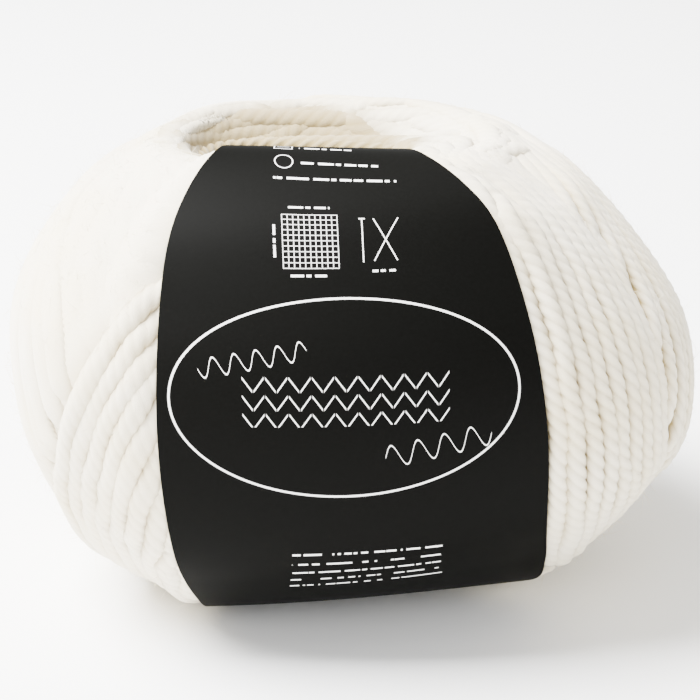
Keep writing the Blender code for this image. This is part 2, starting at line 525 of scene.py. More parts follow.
@dataclass(frozen=True)
class PrintFinish:
    """Black offset ink on coated paper: satin black, with fine white line print left bare of ink."""

    # the ink film is even and nearly black, and its shine is faint and broad
    name: str = "printed_paper"
    ink: str = "060605"
    faded: str = "0A0A09"
    bare: str = "F4F3F0"
    roughness: float = 0.50
    gloss: float = 0.015
    chart_mm: float = 100.0
    tilt: float = 4.2
    middle: Pair = (-0.8, 11.1)

    def draw(self, drawing: LinePrint) -> None:
        """Lay out the frame, the gauge square, the needles, the care signs and the small print.

        Args:
            drawing: What the print is drawn with.
        """
        drawing.oval((0.0, 0.0), (28.9, 16.8), 0.36)
        drawing.stitches((0.0, -0.1), (17.1, 4.5), 9, 3, 0.36)
        drawing.wave((-15.2, 6.6), 11.0, (9.0, 1.5), 3.6, 0.13)
        drawing.wave((15.2, -8.6), 9.0, (9.0, 1.9), 4.5, 0.13)
        drawing.grid((-5.0, 26.9), (4.55, 4.9), 10, 0.10)
        drawing.line((3.6, 23.0), (3.6, 31.1), 0.18)
        drawing.line((3.1, 31.1), (4.1, 31.1), 0.22)
        drawing.line((5.5, 31.1), (9.2, 23.2), 0.18)
        drawing.line((9.6, 31.2), (5.4, 23.2), 0.18)
        drawing.dashes((-5.0, 33.3), (3.4, 0.30), 1, 0.38)
        drawing.dashes((-5.3, 20.7), (3.1, 0.30), 1, 0.38)
        drawing.dashes((-10.9, 27.0), (3.1, 0.30), 1, 0.38, 90.0)
        drawing.dashes((6.9, 21.4), (1.9, 0.30), 1, 0.38)
        drawing.frame((-9.0, 50.4), (1.5, 1.3), 0.16)
        drawing.line((-10.0, 50.4), (-8.0, 50.4), 0.16)
        drawing.oval((-8.9, 44.5), (1.5, 1.9), 0.16)
        drawing.dashes((-1.9, 49.8), (4.4, 0.5), 1, 0.55)
        drawing.dashes((0.4, 44.2), (6.4, 0.5), 1, 0.55)
        drawing.dashes((-0.5, 40.0), (10.2, 0.42), 1, 0.50)
        drawing.dashes((3.6, -34.4), (12.6, 6.6), 5, 0.42)

    def material(self) -> Material:
        """Build the material; the print is laid out in millimetres on the UV map.

        Returns:
            The material.
        """
        made, shader, add = start_material(self.name, {
            "Roughness": self.roughness, "Specular IOR Level": self.gloss})
        turn = math.radians(self.tilt)
        x, y = self.middle
        chart = add("UVMap", {"uv_map": "UVMap"})
        layout = add("Mapping", {"Scale": (self.chart_mm, self.chart_mm, 1.0), "Rotation": (0.0, 0.0, turn),
                     "Location": (-x * math.cos(turn) + y * math.sin(turn),
                     -x * math.sin(turn) - y * math.cos(turn), 0.0)}, {"Vector": chart})
        drawing = LinePrint(add, layout)
        self.draw(drawing)
        mask = add("MapRange", {1: -0.04, 2: 0.04, 3: 1.0, 4: 0.0}, {0: drawing.nearest})
        place = add("TexCoord")
        grain = add("TexNoise", {"Scale": 1 / 0.0005, "Detail": 2.0}, {"Vector": place.outputs["Object"]})
        tint = add("Mix", {"data_type": "RGBA", 6: linear(self.ink), 7: linear(self.faded)}, {0: grain})
        colour = add("Mix", {"data_type": "RGBA", 7: linear(self.bare)}, {0: mask, 6: tint.outputs[2]})
        bump = add("Bump", {"Strength": 0.15, "Distance": 0.02 * MM}, {"Height": grain})
        feed(shader, {"Base Color": colour.outputs[2], "Normal": bump})
        return made


# ---------------------------------------------------------------- the wound form


@dataclass(frozen=True)
class WoundForm:
    """The surface that the outermost turns follow, with the open centre through it."""

    height: float = 0.0835
    radius: float = 0.0612
    skew_share: float = 0.041
    flat_front_share: float = 0.095
    round_back_share: float = 0.30
    bore_centre: Pair = (-0.0065, -0.003)
    bore_half: Pair = (0.018, 0.0100)
    bore_squareness: float = 0.75
    waist_drop: float = 0.0030
    shift: Triple = (0.0, 0.0, 0.0)
    # name, latitude in degrees, share of the outer radius, share of the height, share added to the right
    profile: tuple = (
        ("bore middle", 115.0, 0.00, 0.500, 0.00),
        ("bore upper", 98.0, 0.00, 0.800, 0.00),
        ("hollow", 86.0, 0.07, 0.930, 0.00),
        ("rim", 75.0, 0.26, 1.000, 0.00),
        ("dome", 60.0, 0.50, 0.946, -0.02),
        ("shoulder", 44.8, 0.710, 0.862, -0.045),
        ("upper side", 14.0, 0.97, 0.650, -0.02),
        ("widest", 0.0, 1.00, 0.430, 0.00),
        ("lower side", -25.2, 0.905, 0.285, -0.015),
        ("lower shoulder", -44.4, 0.715, 0.127, -0.015),
        ("foot rim", -63.3, 0.45, 0.015, 0.00),
        ("foot", -70.1, 0.34, 0.000, 0.00),
        ("under hollow", -84.3, 0.10, 0.060, 0.00),
        ("bore lower", -98.0, 0.00, 0.220, 0.00),
    )

    def table(self) -> Array:
        """Return the profile as ascending rows of latitude, share, height share and extra.

        Returns:
            The rows.
        """
        steps = 16
        rows = np.array([row[2:5] for row in self.profile])
        curve = smooth_loop(rows, steps)
        ends = np.array([row[1] for row in self.profile] + [-115.0])
        latitudes = np.interp(np.arange(len(curve)) / steps, np.arange(len(ends)), ends)
        return np.column_stack([latitudes, curve])[::-1]

    def plan(self, azimuth: Array) -> Array:
        """Return the outer radius in each direction, azimuth in radians from +X.

        Args:
            azimuth: The directions.

        Returns:
            A radius for each.
        """
        frontness = self.round_back_share + (1 - self.round_back_share) * (1 - np.sin(azimuth)) / 2
        change = (self.skew_share * np.sin(2 * azimuth)
                  - self.flat_front_share * np.sin(3 * azimuth))
        return self.radius * (1 + frontness * change)

    def point(self, latitude: Array, azimuth: Array) -> Array:
        """Return places on the surface.

        Args:
            latitude: Degrees up from the widest level; past 90 it goes down the bore's wall.
            azimuth: Radians from +X.

        Returns:
            One row of x, y and z for each pair.
        """
        rows = self.table()
        share, level, extra = (np.interp(latitude, rows[:, 0], rows[:, i]) for i in (1, 2, 3))
        cos, sin = np.cos(azimuth), np.sin(azimuth)
        reach = np.clip(share, 0.0, 1.02) + extra * cos
        bore_x = self.bore_centre[0] + self.bore_half[0] * np.sign(cos) * np.abs(cos) ** self.bore_squareness
        bore_y = self.bore_centre[1] + self.bore_half[1] * np.sign(sin) * np.abs(sin) ** self.bore_squareness
        outer = self.plan(azimuth)
        height = self.height * level - self.waist_drop * 4 * level * (1 - level) * cos * reach
        place = np.stack([(1 - reach) * bore_x + reach * outer * cos,
                          (1 - reach) * bore_y + reach * outer * sin, height], axis=-1)
        return place + np.array(self.shift)

    def outward(self, latitude: Array, azimuth: Array) -> Array:
        """Return unit vectors out of the surface at the same places.

        Args:
            latitude: As for a point.
            azimuth: As for a point.

        Returns:
            One row for each pair.
        """
        step = 0.6
        turn = math.radians(step)
        east = self.point(latitude, azimuth + turn) - self.point(latitude, azimuth - turn)
        north = self.point(latitude + step, azimuth) - self.point(latitude - step, azimuth)
        return unit(np.cross(east, north))


# ---------------------------------------------------------------- the paper band


@dataclass(frozen=True)
class Guide:
    """The band's middle surface carried on past both edges, to press yarn in beside it."""

    tree: BVHTree
    halves: Array
    inverse: Matrix
    bore_line: float

    def share(self, spot: Vector, index: int) -> float:
        """Return how far across the band a spot lies, 1 at either edge."""
        across = (self.inverse @ spot).x
        return abs(across) / self.halves[index][int(across > 0)]


@dataclass
class PaperBand:
    """A die-cut paper band through the centre and round the front, widest across the front."""

    thickness: float = 0.00035
    cad_thickness: float = 0.001
    yaw: float = 5.0
    roll: float = 4.5
    pivot: Triple = (-0.0018, -0.050, 0.052)
    bow: float = 0.0045
    cad_bow: float = 0.0030
    lanes: int = 24
    steps: int = 9
    guide_reach: float = 1.6
    chart_scale: float = 10.0
    sharp_angle: float = 40.0
    cut_row: int = 7
    shift: Vector = field(default_factory=Vector)
    length: float = 0.0
    area: float = 0.0
    # name, depth, height, half width and slant of each station
    loop: tuple = (
        ("front middle", -0.0570, 0.0400, 0.0324, 0.00),
        ("front upper", -0.0545, 0.0570, 0.0312, 0.00),
        ("shoulder", -0.0440, 0.0730, 0.0278, 0.04),
        ("dome", -0.0340, 0.0805, 0.0229, 0.12),
        ("rim", -0.0225, 0.0840, 0.0166, 0.19),
        ("hollow", -0.0130, 0.0790, 0.0135, 0.12),
        ("bore upper", -0.0108, 0.0660, 0.0115, 0.00),
        ("bore lower", -0.0108, 0.0240, 0.0115, 0.00),
        ("under hollow", -0.0140, 0.0090, 0.0140, 0.10),
        ("underside", -0.0230, 0.0038, 0.0205, 0.12),
        ("foot", -0.0330, 0.0044, 0.0265, 0.04),
        ("lower shoulder", -0.0440, 0.0115, 0.0290, 0.00),
        ("front lower", -0.0535, 0.0230, 0.0316, 0.00),
    )
    counts: tuple = (3, 4, 3, 3, 4, 3, 2, 3, 3, 3, 3, 3, 4)
    # how much further out the right edge has slipped at each station
    flare: tuple = (0.0, 0.0, 0.0, 0.0, 0.0, 0.0, 0.0, 0.0, 0.0, 0.0022, 0.0048, 0.0036, 0.0004)

    def stations(self, steps: int) -> Array:
        """Return depth, height, half width, slant and flare along the closed band."""
        return smooth_loop(np.array([(*row[1:5], more) for row, more in zip(self.loop, self.flare)]), steps)

    def frame(self) -> Matrix:
        """Return the matrix from the band's own axes to the world.

        Returns:
            The matrix.
        """
        pivot = Vector(self.pivot)
        turn = (Matrix.Rotation(math.radians(self.yaw), 4, "Z")
                @ Matrix.Rotation(math.radians(-self.roll), 4, "Y"))
        return (Matrix.Translation(Vector(self.shift)) @ Matrix.Translation(pivot) @ turn
                @ Matrix.Translation((0.0, -pivot.y, -pivot.z)))

    def surface(self, stations: Array, shares: Array, lift: float, packed: bool = False) -> Array:
        """Return a grid of places on the band.

        Args:
            stations: Rows of depth, height, half width, slant and, if any, flare.
            shares: Places across, from -1 at the left edge to 1 at the right edge.
            lift: Distance outwards from the middle surface.
            packed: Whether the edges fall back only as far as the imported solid's do.

        Returns:
            Points as (stations, shares, 3), in world space.
        """
        along = unit(np.roll(stations[:, :2], -1, 0) - np.roll(stations[:, :2], 1, 0))
        normal = np.stack([-along[:, 1], along[:, 0]], axis=-1)
        depth, height, half, slant = (stations[:, i][:, None] for i in range(4))
        across = half * shares[None, :]
        if not packed:
            across = across + stations[:, 4][:, None] * np.clip(shares, 0.0, 1.0)[None, :]
        held = np.clip(across, -half, half)
        front = np.clip((-depth - 0.025) / 0.025, 0.0, 1.0)
        past = (self.cad_bow if packed else self.bow) * front * (held / half) ** 2
        local = np.stack([across,
                          depth + past - slant * held + normal[:, 0][:, None] * lift,
                          height - 0.4 * slant * held + normal[:, 1][:, None] * lift], axis=-1)
        matrix = np.array(self.frame())
        return local @ matrix[:3, :3].T + matrix[:3, 3]

    def settle(self) -> None:
        """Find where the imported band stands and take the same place."""
        rows = np.array([row[1:5] for row in self.loop])
        stations = np.concatenate([smooth_loop(rows, count)[index * count:(index + 1) * count]
                                   for index, count in enumerate(self.counts)])
        shares = np.linspace(-1.0, 1.0, 7)
        shell = np.concatenate([
            self.surface(stations, shares, side * self.cad_thickness / 2, True).reshape(-1, 3)
            for side in (-1, 1)])
        low = np.array(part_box("paper_band")[0])
        self.shift = Vector(low - shell.min(0))

    def guide(self) -> Guide:
        """Return the surface that presses the yarn, wider than the band itself.

        Returns:
            The guide.
        """
        stations = self.stations(12)
        shares = np.linspace(-self.guide_reach, self.guide_reach, 17)
        grid = self.surface(stations, shares, 0.0)
        rows, columns = grid.shape[:2]
        faces, halves = [], []
        for row in range(rows):
            for column in range(columns - 1):
                a, b = row * columns + column, (row + 1) % rows * columns + column
                faces.append((a, a + 1, b + 1, b))
                pair = stations[[row, (row + 1) % rows]].mean(0)
                halves.append((pair[2], pair[2] + pair[4]))
        tree = BVHTree.FromPolygons([Vector(p) for p in grid.reshape(-1, 3)], faces)
        return Guide(tree, np.array(halves), self.frame().inverted(), -0.003 + self.shift[1])

    def build(self, face: Material, core: Material) -> Piece:
        """Make the band as a thin sheet with its cut edge showing the paper's core.

        Args:
            face: The printed finish of its outer side.
            core: The finish of its back and its cut edges.

        Returns:
            The band's object.
        """
        stations = self.stations(self.steps)
        shares = np.linspace(-1.0, 1.0, self.lanes + 1)
        lift = self.cad_thickness / 2 - self.thickness
        grid = self.surface(stations, shares, lift)
        rows, columns = grid.shape[:2]
        index = np.arange(rows * columns).reshape(rows, columns)
        after = np.roll(index, -1, 0)
        quads = grid_quads(index, after)
        middle = grid[:, columns // 2]
        spans = np.linalg.norm(np.roll(middle, -1, 0) - middle, axis=1)
        along = np.concatenate([[0.0], np.cumsum(spans)])
        across = stations[:, 2][:, None] * shares[None, :]
        wide = np.concatenate([across, across[:1]])
        cut = np.where(np.arange(rows) >= self.cut_row * self.steps, along[-1], 0.0)
        lengths = [np.broadcast_to((along[i:rows + i] - cut)[:, None], (rows, columns - 1))
                   for i in (0, 0, 1, 1)]
        charts = np.stack([
            np.stack([wide[:-1, :-1], wide[:-1, 1:], wide[1:, 1:], wide[1:, :-1]], axis=-1),
            np.stack(lengths, axis=-1),
        ], axis=-1).reshape(-1, 2)
        piece = mesh_piece("printed_band", grid.reshape(-1, 3), quads, np.zeros((0, 3), int),
                           charts * self.chart_scale, face)
        piece.data.materials.append(core)
        shell = piece.modifiers.new("paper", "SOLIDIFY")
        shell.thickness = self.thickness
        shell.offset = 1.0
        shell.material_offset = 0
        shell.material_offset_rim = 1
        bpy.ops.object.select_all(action="DESELECT")
        bpy.context.view_layer.objects.active = piece
        piece.select_set(True)
        bpy.ops.object.modifier_apply(modifier=shell.name)
        piece.data.set_sharp_from_angle(angle=math.radians(self.sharp_angle))
        self.length = float(spans.sum())
        self.area = float(((2 * stations[:, 2] + stations[:, 4]) * spans).sum())
        LOG.info("band: %.1f mm long, %.1f cm2", self.length / MM, self.area * 1e4)
        return piece


# ---------------------------------------------------------------- the yarn


@dataclass(frozen=True)
class Run:
    """A length of yarn: its middle line, the way out of the ball, and its half thickness."""

    middle: Array
    outward: Array
    radius: Array
    relief: Array
    # painted shade in the hole at each point, 0 to 1
    shade: Optional[Array] = None


@dataclass(frozen=True)
class Yarn:
    """Thick four-ply yarn."""

    radius: float = 0.00190
    plies: int = 4
    corners_per_ply: int = 4
    lead: float = 0.0104
    groove: float = 0.79
    shoulder: float = 0.945
    flatness: float = 0.90
    breadth: float = 1.05
    pressed_share: float = 0.70
    pressed_breadth: float = 0.55
    step: float = 0.00125
    hand: Twist = Twist.S

    def resample(self, run: Run) -> Optional[Run]:
        """Space the run's points evenly, or drop a run too short to show.

        Args:
            run: The run as it was laid.

        Returns:
            The same run at even steps, or None.
        """
        spans = np.linalg.norm(np.diff(run.middle, axis=0), axis=1)
        reach = np.concatenate([[0.0], np.cumsum(spans)])
        if reach[-1] < 3 * self.step:
            return None
        places = np.linspace(0.0, reach[-1], max(4, round(reach[-1] / self.step)) + 1)
        middle, outward = (np.stack([np.interp(places, reach, rows[:, i]) for i in range(3)], axis=-1)
                           for rows in (run.middle, run.outward))
        shade = np.zeros(len(reach)) if run.shade is None else run.shade
        return Run(middle, unit(outward), *(np.interp(places, reach, values)
                                            for values in (run.radius, run.relief, shade)))

    def mesh(self, name: str, runs: list[Run], material: Material) -> Piece:
        """Twist the plies along every run and join the runs in one piece.

        Args:
            name: The piece's name.
            runs: The lengths of yarn.
            material: Their finish.

        Returns:
            The piece's object.
        """
        sides = self.plies * self.corners_per_ply
        shape = np.interp(np.arange(sides) % self.corners_per_ply,
                          (0, 1, self.corners_per_ply / 2, self.corners_per_ply - 1),
                          (self.groove, self.shoulder, 1.0, self.shoulder))
        # how deep each corner sits in a groove between plies, used for painted shade
        ply = (shape.max() - shape) / (shape.max() - shape.min())
        points, quads, caps, quad_charts, cap_charts, lies = [], [], [], [], [], []
        base = 0
        for number, raw in enumerate(runs):
            run = self.resample(raw)
            if run is None:
                continue
            count = len(run.middle)
            forward = unit(np.gradient(run.middle, axis=0))
            side = unit(np.cross(forward, run.outward))
            out = np.cross(side, forward)
            reach = np.arange(count) * self.step
            turn = (np.arange(sides) / sides * math.tau)[None, :] + (
                self.hand.value * math.tau * reach / self.lead + number * 1.7)[:, None]
            relief = run.relief[:, None]
            scale = run.radius[:, None] * (1 - (1 - shape[None, :]) * relief)
            flat = self.flatness * (self.pressed_share + (1 - self.pressed_share) * relief)
            broad = self.breadth + self.pressed_breadth * (1 - relief) ** 3
            rings = (run.middle[:, None, :]
                     + out[:, None, :] * (np.cos(turn) * scale * flat)[..., None]
                     + side[:, None, :] * (np.sin(turn) * scale * broad)[..., None])
            points.append(rings.reshape(-1, 3))
            # painted shade: the sides facing the next turns and the grooves between plies are marked for the
            # crease colour, and the hole's painted shade is added
            sunk = (1 - np.cos(turn)) / 2 * np.minimum(relief * 2, 1.0)
            between = np.broadcast_to(ply[None, :], turn.shape) * relief
            lies.append(np.stack([sunk + run.shade[:, None], between], axis=-1).reshape(-1, 2))
            index = base + np.arange(count * sides).reshape(count, sides)
            around = np.roll(index, -1, 1)
            quads.append(np.stack([index[:-1], around[:-1], around[1:], index[1:]], axis=-1).reshape(-1, 4))
            left = np.broadcast_to(np.arange(sides) / sides, (count - 1, sides))
            start = np.broadcast_to((reach[:-1] / 0.01 + number * 3.1)[:, None], (count - 1, sides))
            span = self.step / 0.01
            quad_charts.append(np.stack([
                np.stack([start, start, start + span, start + span], axis=-1),
                np.stack([left, left + 1 / sides, left + 1 / sides, left], axis=-1)], axis=-1).reshape(-1, 2))
            ends = base + count * sides
            points.append(run.middle[[0, -1]])
            lies.append(np.zeros((2, 2)) + run.shade[[0, -1], None])
            first, last = index[0], index[-1]
            caps.append(np.stack([np.full(sides, ends), np.roll(first, -1), first], axis=-1))
            caps.append(np.stack([np.full(sides, ends + 1), last, np.roll(last, -1)], axis=-1))
            cap_charts.append(np.zeros((6 * sides, 2)))
            base = ends + 2
        return mesh_piece(name, np.concatenate(points), np.concatenate(quads), np.concatenate(caps),
                          np.concatenate(quad_charts + cap_charts), material, np.concatenate(lies))


@dataclass
class WoundBall:
    """The turns of yarn, laid in the order in which a winder lays them."""

    form: WoundForm
    yarn: Yarn
    band: PaperBand
    guide: Guide
    cover: Optional[KDTree] = None
    skin_tree: Optional[BVHTree] = None
    cover_hold: Array = field(default_factory=lambda: np.ones(0))
    # the outer turns: distances in metres, azimuths and latitudes in degrees
    spacing: float = 0.0035
    spacing_jitter: float = 0.25
    tangent: float = 0.28
    tangent_jitter: float = 0.02
    lower_tangent: float = 0.17
    turn_length: float = 0.33
    first_start: float = 42.0
    last_start: float = -138.0
    tuck: float = 6.0
    wander: float = 0.010
    order_rise: float = 0.0006
    crowd_depth: float = 0.0014
    loose_depth: float = 0.00012
    falling_depth: float = 0.0016
    crest_sink: float = 0.0012
    crest_start: float = -44.0
    crest_level: Pair = (35.0, 15.0)
    cut_depth: float = 0.0020
    falling_from: Pair = (75.0, 30.0)
    side_relief: float = 0.85
    left_flat: float = 0.34
    # the share of the radius changes by this much, tighter round one start and wider past another
    tangent_change: float = 0.09
    tight_start: Pair = (-57.0, 14.0)
    wide_start: Pair = (-50.0, 25.0)
    # what the band and later turns do to yarn that runs beneath or beside them
    band_gap: float = 0.0002
    band_search: float = 0.02
    hidden_share: float = 0.93
    edge_fade: float = 0.30
    edge_swell: float = 0.0010
    dive: float = 0.0024
    dive_reach: float = 0.0060
    dive_run: float = 0.0044
    covered_gap: float = 0.0011
    floor_share: float = 0.84
    # the newest turns, on the right and on the left of the band
    newest: int = 9
    proud: int = 4
    pitches: tuple = (0.0028, 0.0031, 0.0033, 0.0033, 0.0032, 0.0029, 0.0024, 0.0020)
    edge_pitch_share: float = 0.56
    right_sunk: tuple = ((0, 5, 7, 8), (-0.0004, -0.0002, 0.0004, 0.0008))
    left_newest: int = 11
    left_pitches: tuple = (0.0026, 0.0031, 0.0034, 0.0032, 0.0026)
    left_levels: tuple = (-60.0, -30.0, 0.0, 30.0, 60.0)
    left_course: tuple = (0.25, -72.0, 64.0, 0.18)
    left_sunk: Pair = (0.0006, 0.0002)
    left_relief: Pair = (0.42, 0.10)
    edge_bend: float = 4.2
    more_bend: float = 1.2
    bend_reach: float = 14.0
    bend_in: float = 16.0
    bend_out: Pair = (50.0, 18.0)
    wobble: float = 0.0004
    # where they sink: from what height, over what height, and how far
    right_foot: Triple = (0.024, 0.018, 0.0014)
    right_crown: Triple = (0.068, 0.010, 0.0010)
    left_foot: Triple = (0.020, 0.018, 0.0008)
    near_lift: float = 0.0004
    crest_depth: float = 0.0016
    crest_floor: Pair = (0.0814, 0.00035)
    crest_drop: float = 0.0020
    # how round those on the right stay on the crest, on the front and at the foot
    crest_relief: Pair = (0.27, 0.14)
    front_relief: float = 0.82
    front_top: Pair = (0.078, 0.014)
    foot_relief: float = 0.15
    foot_top: Pair = (0.018, 0.016)
    cover_top: Pair = (0.056, 0.024)
    # where shade is painted in the hole: its middle from the bore's, its top, and its reach
    hole_shade_offset: Pair = (0.004, 0.0)
    hole_shade_top: Pair = (0.0850, 0.006)
    hole_shade_reach: Pair = (0.016, 0.010)
    # knots of the first turn on the right, and how far the next turn's lie from them
    crest_knots: tuple = (((0.0108, -0.0138, 0.0840), (0.0022, 0.0014, 0.0)),
                          ((0.0064, -0.0080, 0.0840), (0.0016, 0.0014, 0.0)))
    hole_knots: tuple = (((0.0036, -0.0076, 0.0785), (0.0010, 0.0012, 0.0)),
                         ((0.0028, -0.0070, 0.0700), (0.0007, 0.0009, 0.0)),
                         ((0.0026, -0.0070, 0.0620), (0.0006, 0.0008, 0.0)))
    knot_ways: tuple = ((0.0, -0.15, 1.0), (-0.25, -0.1, 1.0), (-0.9, -0.2, 0.5), (-1.0, 0.0, 0.1),
                        (-1.0, 0.0, 0.0))
    # the older turns in the wedge on the left
    older_count: int = 58
    older_reach: float = 128.0
    older_depth: float = 0.00050
    older_ripple: float = 0.00012
    older_width: float = 1.25
    older_dive: float = 0.0008
    # the turns round the rims, as share of the radius and number of turns, and those that line the hole
    rim_courses: tuple = ((0.23, 16), (0.16, 13), (0.10, 11), (0.04, 9))
    rim_depth: float = 0.0012
    rim_ripple: float = 0.0006
    rim_dive: float = 0.0014
    rim_end: float = 0.35
    rim_width: float = 1.05
    rim_relief: float = 0.28
    bore_count: int = 11
    bore_top: float = 88.0
    bore_pitch: float = 2.6
    bore_sway: float = 1.3
    # loose fibres
    fibre_count: int = 6500
    fibre_length: float = 0.0022
    fibre_most: float = 0.0048
    fibre_radius: float = 0.000032
    fibre_clear: float = 1.06
    fibre_fan: float = 1.25
    fibre_root: float = 0.84
    fibre_curl: float = 0.55
    fibre_droop: float = 0.35
    fibre_taper: float = 0.75
    # the body of buried turns, whose wool carries a fixed share of painted crease shade
    core_grid: tuple[int, int] = (96, 144)
    core_depth: float = 0.0026
    core_radius: float = 0.0016
    core_floor: float = 0.0012
    core_painted_shade: float = 0.22
    seed: int = 11

    def course(self, start: float, tangent: float, first: float, last: float,
               lower: Optional[float] = None) -> tuple[Array, Array]:
        """Return latitude in degrees and azimuth in radians along a turn.

        Args:
            start: Azimuth, in degrees, where the turn rises through the widest level.
            tangent: Share of the radius at which it passes the centre.
            first: Where it begins, in degrees round the turn from that level.
            last: Where it ends.
            lower: The same share on the underside, if it isn't the same there.

        Returns:
            The two coordinates at each point.
        """
        t = np.radians(np.linspace(first, last, max(8, round(abs(last - first) * 1.2))))
        lower = tangent if lower is None else lower
        share = (tangent + lower) / 2 + (tangent - lower) / 2 * np.sin(t)
        latitude = np.degrees(np.arcsin(np.sqrt(1 - share ** 2) * np.sin(t)))
        azimuth = np.unwrap(np.arctan2(share * np.sin(t), np.cos(t)))
        azimuth += math.radians(start)
        return latitude, azimuth

    def spread(self, latitude: Array, tangent: float) -> Array:
        """Return how far apart turns lie, 1 at the widest level and 0 where they pass the centre."""
        cos = np.cos(np.radians(np.minimum(np.abs(latitude), 90.0)))
        return np.sqrt(np.maximum(cos ** 2 - tangent ** 2, 0.0) / (1 - tangent ** 2))

    def press(self, middle: Array, outward: Array, radius: Array) -> tuple[Array, Array, Array]:
        """Lay the yarn beneath the band where it runs over it, and let it swell beside it.

        Args:
            middle: The middle line.
            outward: The way out at each point.
            radius: The half thickness at each point.

        Returns:
            The new middle line and way out, and how deep under the band each point is, 0 to 1.
        """
        moved, ways = middle.copy(), outward.copy()
        hidden = np.zeros(len(middle))
        for i, place in enumerate(middle):
            if place[1] > self.guide.bore_line:
                continue
            spot, normal, index, gap = self.guide.tree.find_nearest(Vector(place), self.band_search)
            if spot is None:
                continue
            share = self.guide.share(spot, index)
            beyond = (share - 1.0) / self.edge_fade
            hold = float(1 - ease(beyond))
            if hold <= 0.0:
                continue
            normal = np.array(normal)
            if normal @ outward[i] < 0:
                normal = -normal
            height = float((place - np.array(spot)) @ normal)
            wanted = -(radius[i] * self.yarn.flatness + self.band_gap)
            wanted += self.edge_swell * math.sin(math.pi * min(max(beyond, 0.0), 1.0))
            moved[i] = place + normal * (wanted - height) * hold
            ways[i] = outward[i] * (1 - hold) + normal * hold
            hidden[i] = hold if share < self.hidden_share else 0.0
        return moved, unit(ways), hidden

    def lay(self, latitude: Array, azimuth: Array, depth: Array, radius: float,
            relief: Optional[Array] = None, dive: Optional[float] = None) -> list[Run]:
        """Lay one turn on the form and cut out what the band hides.

        Args:
            latitude: Its latitude in degrees.
            azimuth: Its azimuth in radians.
            depth: How far its outside lies beneath the form's surface.
            radius: The yarn's half thickness.
            relief: How round the yarn stays and how deep its plies show, 0 to 1.
            dive: How much deeper it goes beneath later turns.

        Returns:
            The runs that show.
        """
        relief = np.ones(len(latitude)) if relief is None else relief
        dive = self.dive if dive is None else dive
        outward = self.form.outward(latitude, azimuth)
        thick = np.full(len(latitude), radius)
        middle = self.form.point(latitude, azimuth) - outward * (depth + radius * self.yarn.flatness)[:, None]
        middle, outward, hidden = self.press(middle, outward, thick)
        if self.cover is not None:
            found = [self.cover.find(Vector(place))[1:] for place in middle]
            hold = self.cover_hold[[index for index, _ in found]]
            gap = np.array([distance for _, distance in found])
            middle = middle - outward * (hold * dive * ease((self.dive_reach - gap) / self.dive_run))[:, None]
            hidden = np.where((gap < self.covered_gap) & (hold > 0.9), 1.0, hidden)
        middle[:, 2] = np.maximum(middle[:, 2], radius * self.floor_share)
        show = hidden < 0.5
        shade = self.shade(middle)
        runs = []
        edges = np.flatnonzero(np.diff(np.concatenate([[False], show, [False]]).astype(int)))
        for low, high in zip(edges[::2], edges[1::2]):
            low, high = max(low - 1, 0), min(high + 1, len(show))
            if high - low > 3:
                runs.append(Run(middle[low:high], outward[low:high], thick[low:high], relief[low:high],
                                shade[low:high]))
        return runs

    def relief(self, spread: Array) -> Array:
        """Return how round the yarn stays, less where turns crowd over the dome and foot."""
        return 0.02 + 0.98 * ease((spread - 0.25) / 0.60)

    def tangent_at(self, start: float) -> float:
        """Return the share of the radius at which the turn that starts there passes the centre.

        Args:
            start: Azimuth, in degrees, where the turn rises through the widest level.

        Returns:
            The share.
        """
        tight = math.exp(-((start - self.tight_start[0]) / self.tight_start[1]) ** 2)
        wide = float(ease((start - self.wide_start[0]) / self.wide_start[1]))
        return self.tangent - self.tangent_change * tight + self.tangent_change * wide

    def uncovered(self, start: float, latitude: Array, azimuth: Array) -> Array:
        """Return where a falling turn isn't buried under the rising turns of the same half.

        Args:
            start: Azimuth, in degrees, where the turn rises through the widest level.
            latitude: Its latitude in degrees.
            azimuth: Its azimuth in radians.

        Returns:
            True where the turn is laid.
        """
        turned = np.degrees(azimuth) - start
        lean = np.abs(180.0 - turned)
        above = lean < (start + 180.0 - self.first_start) / 2 + self.tuck
        below = lean < (self.last_start + 180.0 - start) / 2 + 90.0 + self.tuck
        return (turned < 90.0) | np.where(latitude > 0, above, below)

    def outer_turns(self, rng: np.random.Generator) -> list[list[Run]]:
        """Lay the newest half of the winding, oldest turn first.

        Args:
            rng: The seeded generator.

        Returns:
            The runs of each turn.
        """
        swept = self.first_start - self.last_start
        count = round(math.radians(swept) * self.form.radius / self.spacing)
        apart = math.degrees(self.spacing / self.form.radius)
        turns = []
        for number in range(count):
            age = 1 - number / (count - 1)
            start = self.last_start + swept * age
            start += rng.uniform(-self.spacing_jitter, self.spacing_jitter) * apart
            tangent = self.tangent_at(start) + rng.uniform(-self.tangent_jitter, self.tangent_jitter)
            latitude, azimuth = self.course(start, tangent, -90.0, 270.0, self.lower_tangent)
            travel = np.linspace(-90.0, 270.0, len(latitude))
            along = np.linspace(0.0, self.turn_length, len(latitude))
            spread = self.spread(latitude, tangent)
            near_edge = math.exp(-((start - self.last_start) / self.bend_reach) ** 2)
            bend = math.radians(self.edge_bend + self.more_bend) * near_edge
            unbent = ease((latitude - self.bend_out[0]) / self.bend_out[1])
            azimuth = azimuth + bend * (travel < 90) * ease(latitude / self.bend_in) * (1 - unbent)
            shown = self.uncovered(start, latitude, azimuth)
            azimuth = azimuth + drift(rng, along, 0.16) * self.wander * (0.4 + spread)
            depth = (self.loose_depth + self.crowd_depth * (1 - spread)) * (1 + drift(rng, along, 0.09)) / 2
            depth += self.order_rise * (2 * age - 1)
            at_crest = ease((latitude - self.crest_level[0]) / self.crest_level[1])
            at_crest = at_crest * ease(np.cos(azimuth) / 0.3)
